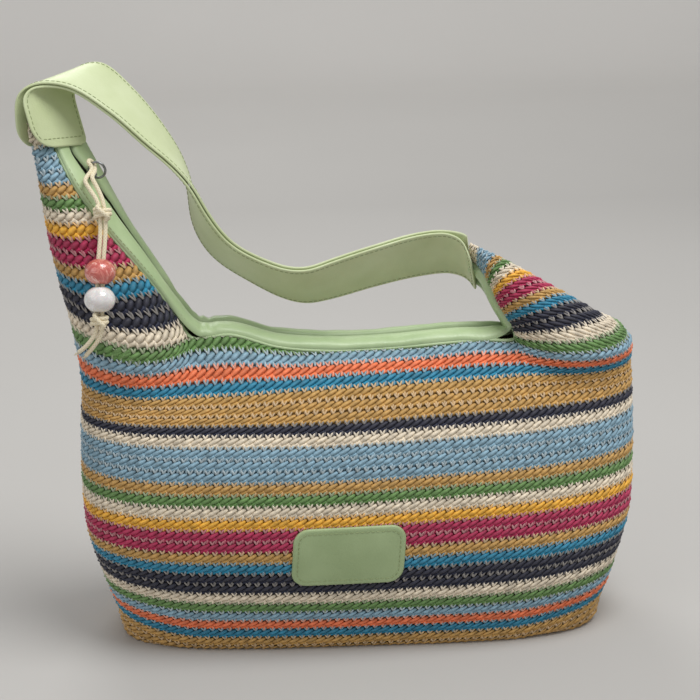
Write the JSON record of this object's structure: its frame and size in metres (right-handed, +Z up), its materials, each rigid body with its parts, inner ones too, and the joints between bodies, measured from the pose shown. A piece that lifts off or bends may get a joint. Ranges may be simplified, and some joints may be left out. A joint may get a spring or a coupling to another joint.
{
  "type": "woven straw shoulder bag",
  "caption": "Slouchy striped woven-straw shoulder bag with two pointed ears, a mint leather strap, trim and patch, a zip along the mouth and a beaded cord charm.",
  "frame": {"origin": "on the floor under the middle of the bag's foot", "axes": "+X to the bag's right as seen from the front, -Y out of the front with the patch, +Z up; the tall ear is at -X"},
  "size_m": [0.3558, 0.1252, 0.3404],
  "materials": {
    "straw": "coarse woven paper straw in many coloured rows",
    "leather": "satin, fine grain, mint green",
    "lining": "plain cotton",
    "zip_tape": "woven polyester tape",
    "zip_teeth": "nylon coil",
    "nickel": "nickel plated, polished",
    "cord": "waxed cotton cord",
    "pink_resin": "polished, marbled",
    "white_resin": "polished, pearly"
  },
  "bodies": {
    "bag": {"woven_front": "straw", "woven_back": "straw", "lining": "lining", "facing_front": "leather", "facing_back": "leather", "piping_front": "leather", "piping_back": "leather", "zip_tape_front": "zip_tape", "zip_tape_back": "zip_tape", "zip_teeth_front": "zip_teeth", "zip_teeth_back": "zip_teeth", "strap_inner_ply": "leather", "strap_outer_ply": "leather", "leather_patch": "leather"},
    "slider": {"zip_slider": "nickel"},
    "ring": {"pull_ring": "nickel"},
    "charm": {"charm_cord": "cord", "upper_knot": "cord", "lower_knot": "cord"},
    "pink_bead": {"pink_bead": "pink_resin"},
    "white_bead": {"white_bead": "white_resin"}
  },
  "joints": [
    {"name": "zip_slide", "type": "slide", "parent": "bag", "child": "slider", "axis": [0.5233, -0.0081, -0.8521], "range_m": [0, 0.06]},
    {"name": "ring_swing", "type": "hinge", "parent": "slider", "child": "ring", "pos_m": [-0.14749, -0.00691, 0.28212], "axis": [-0.8139, 0.146, 0.5623], "range_deg": [0, 25]},
    {"name": "charm_swing", "type": "hinge", "parent": "ring", "child": "charm", "pos_m": [-0.14817, -0.00797, 0.28931], "axis": [-0.7005, 0.3216, -0.6371], "range_deg": [0, 50]},
    {"name": "pink_bead_spin", "type": "hinge", "parent": "charm", "child": "pink_bead", "pos_m": [-0.146, -0.038, 0.2359], "axis": [0.0784, 0.3772, 0.9228], "continuous": true},
    {"name": "white_bead_spin", "type": "hinge", "parent": "charm", "child": "white_bead", "pos_m": [-0.1469, -0.044, 0.222], "axis": [0.0631, 0.312, 0.948], "continuous": true}
  ],
  "couplings": [
    {"joint": "ring_swing", "follows": "zip_slide", "rad_per_m": 7.2}
  ]
}
